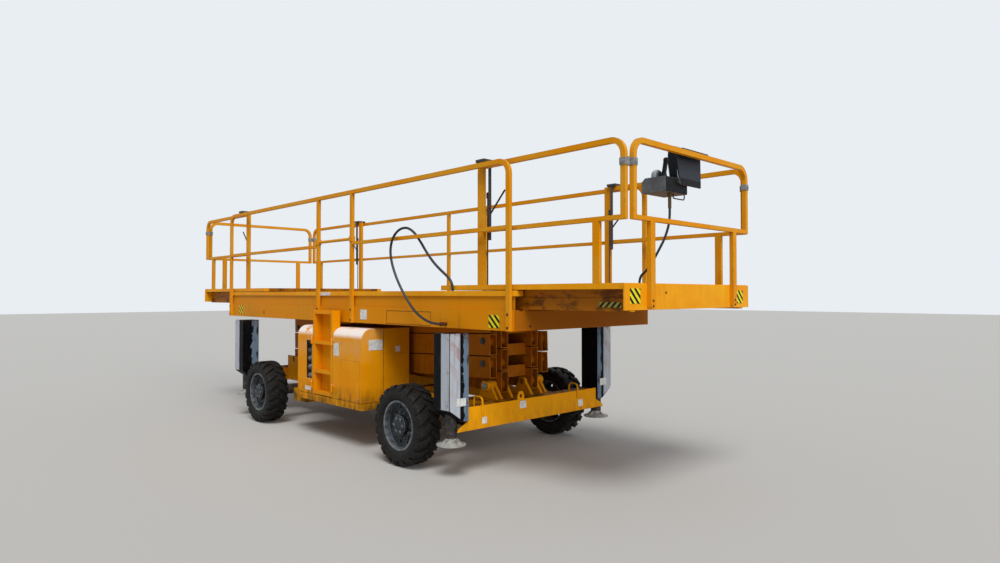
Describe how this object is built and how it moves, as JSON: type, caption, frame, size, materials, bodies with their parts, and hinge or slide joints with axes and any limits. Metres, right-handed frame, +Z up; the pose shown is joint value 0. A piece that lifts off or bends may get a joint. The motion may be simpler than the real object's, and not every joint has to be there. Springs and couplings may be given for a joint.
{
  "type": "self-propelled diesel scissor lift",
  "caption": "Wheeled scissor lift with a long railed platform, sliding end decks, outriggers, side housings, a ladder and a rail-hung control box.",
  "frame": {"origin": "on the ground under the middle of the wheelbase, which is the middle of the machine", "axes": "+X to the end with the control box and the steered wheels, +Y to the left, +Z up"},
  "size_m": [8.026, 2.368, 2.804],
  "materials": {
    "amber_paint": "amber gloss enamel, faded and dusty",
    "axle_iron": "dark cast iron, dusty",
    "box_plastic": "grey box with a dark screen plate",
    "dark_metal": "dark grey enamel",
    "guard_paint": "white sheet with faded red stripes",
    "hose_rubber": "black hose",
    "leg_steel": "galvanised, dull",
    "rim_paint": "grey enamel, worn",
    "rod_chrome": "hard chrome",
    "rusty_steel": "bare steel, rusted",
    "sleeve_paint": "black enamel, chipped",
    "tyre": "dusty lugged rubber",
    "zinc_steel": "dull zinc plate"
  },
  "bodies": {
    "chassis": {"chassis_frame": "amber_paint", "bumpers": "amber_paint", "front_axle": "axle_iron", "rear_axle": "axle_iron", "outrigger_guards": "guard_paint", "outrigger_sleeves": "sleeve_paint", "module_trays": "amber_paint", "module_cases": "amber_paint", "engine_block": "dark_metal", "oil_tank": "dark_metal", "valve_block": "dark_metal", "ladder": "amber_paint"},
    "knuckle_right": {"knuckle_right": "axle_iron"},
    "wheel_front_right": {"tyre_front_right": "tyre", "rim_front_right": "rim_paint"},
    "outrigger_leg_front_right": {"outrigger_leg_front_right": "leg_steel"},
    "hood_front_right": {"hood_front_right": "amber_paint"},
    "wheel_rear_right": {"tyre_rear_right": "tyre", "rim_rear_right": "rim_paint"},
    "outrigger_leg_rear_right": {"outrigger_leg_rear_right": "leg_steel"},
    "hood_rear_right": {"hood_rear_right": "amber_paint"},
    "knuckle_left": {"knuckle_left": "axle_iron"},
    "wheel_front_left": {"tyre_front_left": "tyre", "rim_front_left": "rim_paint"},
    "outrigger_leg_front_left": {"outrigger_leg_front_left": "leg_steel"},
    "hood_front_left": {"hood_front_left": "amber_paint"},
    "wheel_rear_left": {"tyre_rear_left": "tyre", "rim_rear_left": "rim_paint"},
    "outrigger_leg_rear_left": {"outrigger_leg_rear_left": "leg_steel"},
    "hood_rear_left": {"hood_rear_left": "amber_paint"},
    "steering_rod": {"steering_rod": "dark_metal"},
    "inner_arms_1": {"inner_arms_1": "amber_paint"},
    "outer_arms_1": {"outer_arms_1": "amber_paint"},
    "inner_arms_2": {"inner_arms_2": "amber_paint"},
    "outer_arms_2": {"outer_arms_2": "amber_paint"},
    "inner_arms_3": {"inner_arms_3": "amber_paint"},
    "outer_arms_3": {"outer_arms_3": "amber_paint"},
    "cylinder_barrel": {"cylinder_barrel": "dark_metal"},
    "cylinder_rod": {"cylinder_rod": "rod_chrome"},
    "platform": {"platform_frame": "amber_paint", "platform_spines": "amber_paint", "platform_joists": "amber_paint", "platform_tracks": "amber_paint", "platform_floor": "amber_paint", "main_rail_right": "amber_paint", "main_rail_left": "amber_paint", "mid_rails": "amber_paint", "hose_outlet": "rusty_steel", "platform_hose": "hose_rubber"},
    "entry_bar": {"entry_bar": "amber_paint"},
    "front_deck": {"front_deck": "amber_paint", "front_deck_rails": "amber_paint", "front_end_rail": "amber_paint", "control_box": "box_plastic", "control_cable": "hose_rubber", "front_deck_latch": "zinc_steel"},
    "rear_deck": {"rear_deck": "amber_paint", "rear_deck_rails": "amber_paint", "rear_end_rail": "amber_paint", "rear_deck_latch": "zinc_steel"}
  },
  "joints": [
    {"name": "steer_right", "type": "hinge", "parent": "chassis", "child": "knuckle_right", "pos_m": [1.531, -0.85, 0.385], "axis": [0, 0, 1], "range_deg": [-28, 28]},
    {"name": "roll_front_right", "type": "hinge", "parent": "knuckle_right", "child": "wheel_front_right", "pos_m": [1.531, -1.054, 0.385], "axis": [0, 1, 0], "continuous": true},
    {"name": "leg_front_right", "type": "slide", "parent": "chassis", "child": "outrigger_leg_front_right", "axis": [0, 0, -1], "range_m": [0, 0.4]},
    {"name": "door_front_right", "type": "hinge", "parent": "chassis", "child": "hood_front_right", "pos_m": [0.218, -1.115, 0.8], "axis": [0, 0, -1], "range_deg": [0, 100]},
    {"name": "roll_rear_right", "type": "hinge", "parent": "chassis", "child": "wheel_rear_right", "pos_m": [-1.531, -1.054, 0.385], "axis": [0, 1, 0], "continuous": true},
    {"name": "leg_rear_right", "type": "slide", "parent": "chassis", "child": "outrigger_leg_rear_right", "axis": [0, 0, -1], "range_m": [0, 0.4]},
    {"name": "door_rear_right", "type": "hinge", "parent": "chassis", "child": "hood_rear_right", "pos_m": [-0.228, -1.115, 0.8], "axis": [0, 0, 1], "range_deg": [0, 100]},
    {"name": "steer_left", "type": "hinge", "parent": "chassis", "child": "knuckle_left", "pos_m": [1.531, 0.85, 0.385], "axis": [0, 0, 1], "range_deg": [-28, 28]},
    {"name": "roll_front_left", "type": "hinge", "parent": "knuckle_left", "child": "wheel_front_left", "pos_m": [1.531, 1.054, 0.385], "axis": [0, 1, 0], "continuous": true},
    {"name": "leg_front_left", "type": "slide", "parent": "chassis", "child": "outrigger_leg_front_left", "axis": [0, 0, -1], "range_m": [0, 0.4]},
    {"name": "door_front_left", "type": "hinge", "parent": "chassis", "child": "hood_front_left", "pos_m": [0.218, 1.115, 0.8], "axis": [0, 0, 1], "range_deg": [0, 100]},
    {"name": "roll_rear_left", "type": "hinge", "parent": "chassis", "child": "wheel_rear_left", "pos_m": [-1.531, 1.054, 0.385], "axis": [0, 1, 0], "continuous": true},
    {"name": "leg_rear_left", "type": "slide", "parent": "chassis", "child": "outrigger_leg_rear_left", "axis": [0, 0, -1], "range_m": [0, 0.4]},
    {"name": "door_rear_left", "type": "hinge", "parent": "chassis", "child": "hood_rear_left", "pos_m": [-0.228, 1.115, 0.8], "axis": [0, 0, -1], "range_deg": [0, 100]},
    {"name": "steering_rod_slide", "type": "slide", "parent": "chassis", "child": "steering_rod", "axis": [0, 1, 0], "range_m": [-0.082, 0.082]},
    {"name": "lift", "type": "hinge", "parent": "chassis", "child": "inner_arms_1", "pos_m": [1.91, 0, 0.724], "axis": [0, 1, 0], "range_deg": [0, 48.5]},
    {"name": "centre_pivot_1", "type": "hinge", "parent": "inner_arms_1", "child": "outer_arms_1", "pos_m": [0, 0, 0.83485], "axis": [0, 1, 0], "range_deg": [-97.01, 0]},
    {"name": "inner_pivot_2", "type": "hinge", "parent": "outer_arms_1", "child": "inner_arms_2", "pos_m": [1.91, 0, 0.9457], "axis": [0, 1, 0], "range_deg": [0, 97.01]},
    {"name": "centre_pivot_2", "type": "hinge", "parent": "inner_arms_2", "child": "outer_arms_2", "pos_m": [0, 0, 1.05655], "axis": [0, 1, 0], "range_deg": [-97.01, 0]},
    {"name": "inner_pivot_3", "type": "hinge", "parent": "outer_arms_2", "child": "inner_arms_3", "pos_m": [1.91, 0, 1.1674], "axis": [0, 1, 0], "range_deg": [0, 97.01]},
    {"name": "centre_pivot_3", "type": "hinge", "parent": "inner_arms_3", "child": "outer_arms_3", "pos_m": [0, 0, 1.27825], "axis": [0, 1, 0], "range_deg": [-97.01, 0]},
    {"name": "platform_pivot", "type": "hinge", "parent": "outer_arms_3", "child": "platform", "pos_m": [1.91, 0, 1.3891], "axis": [0, 1, 0], "range_deg": [0, 48.5]},
    {"name": "barrel_pivot", "type": "hinge", "parent": "inner_arms_1", "child": "cylinder_barrel", "pos_m": [1.5, 0, 0.80607], "axis": [0, 1, 0], "range_deg": [0, 15.73]},
    {"name": "rod_slide", "type": "slide", "parent": "cylinder_barrel", "child": "cylinder_rod", "axis": [-0.9947, 0, 0.1025], "range_m": [0, 2.635]},
    {"name": "front_deck_slide", "type": "slide", "parent": "platform", "child": "front_deck", "axis": [1, 0, 0], "range_m": [-1.05, 0]},
    {"name": "rear_deck_slide", "type": "slide", "parent": "platform", "child": "rear_deck", "axis": [-1, 0, 0], "range_m": [-1.05, 0]},
    {"name": "entry_bar_slide", "type": "slide", "parent": "platform", "child": "entry_bar", "axis": [0, 0, 1], "range_m": [0, 0.35]}
  ],
  "couplings": [
    {"joint": "steer_right", "follows": "steer_left", "ratio": 1},
    {"joint": "steering_rod_slide", "follows": "steer_left", "m_per_rad": -0.16331},
    {"joint": "centre_pivot_1", "follows": "lift", "ratio": -2},
    {"joint": "inner_pivot_2", "follows": "lift", "ratio": 2},
    {"joint": "centre_pivot_2", "follows": "lift", "ratio": -2},
    {"joint": "inner_pivot_3", "follows": "lift", "ratio": 2},
    {"joint": "centre_pivot_3", "follows": "lift", "ratio": -2},
    {"joint": "platform_pivot", "follows": "lift", "ratio": 1},
    {"joint": "barrel_pivot", "follows": "lift", "ratio": 0.32419},
    {"joint": "rod_slide", "follows": "lift", "m_per_rad": 3.1117}
  ]
}
